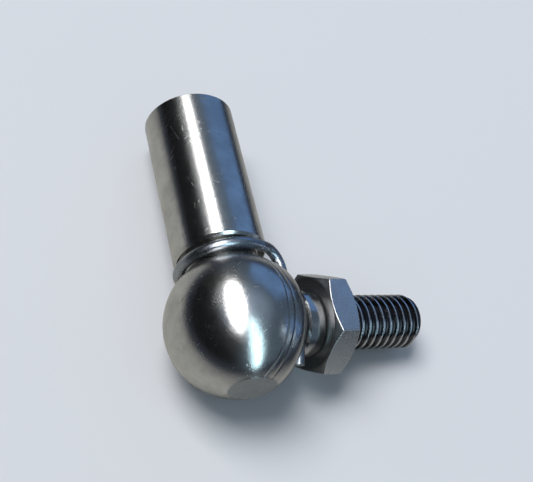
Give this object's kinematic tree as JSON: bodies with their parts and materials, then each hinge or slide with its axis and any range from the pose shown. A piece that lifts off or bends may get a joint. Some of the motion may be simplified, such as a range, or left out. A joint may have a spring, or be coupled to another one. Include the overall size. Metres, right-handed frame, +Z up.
{
  "type": "angle ball joint",
  "caption": "Angle joint: a socket with a threaded shank swivels on a ball stud, kept on by a snap ring and a wire safety clip, with a locknut on the stud.",
  "frame": {"origin": "on the surface the joint lies on, under the middle of its bounding box", "axes": "+Z up from the surface, +Y along the shank towards its end, +X towards the stud's threaded end"},
  "size_m": [0.0392, 0.0446, 0.0193],
  "materials": {
    "socket_steel": "polished, with fine scratches",
    "stud_steel": "turned and polished",
    "nut_steel": "satin, cold formed",
    "spring_wire": "drawn spring wire"
  },
  "bodies": {
    "socket": {"socket": "socket_steel", "safety_clip": "spring_wire"},
    "snap_ring": {"snap_ring": "spring_wire"},
    "ball_stud": {"ball_stud": "stud_steel"},
    "hex_nut": {"hex_nut": "nut_steel"}
  },
  "joints": [
    {"name": "snap_ring_turn", "type": "hinge", "parent": "socket", "child": "snap_ring", "pos_m": [-0.00999, -0.01289, 0.0097], "axis": [0.8793, -0.0447, -0.4741], "continuous": true},
    {"name": "stud_lean", "type": "hinge", "parent": "snap_ring", "child": "ball_stud", "pos_m": [-0.00999, -0.01289, 0.0097], "axis": [0.1263, -0.9381, 0.3225], "range_deg": [-36, 0]},
    {"name": "hex_nut_turn", "type": "hinge", "parent": "ball_stud", "child": "hex_nut", "pos_m": [0.00322, -0.01203, 0.00703], "axis": [0.9782, 0.0637, -0.1978], "continuous": true}
  ]
}
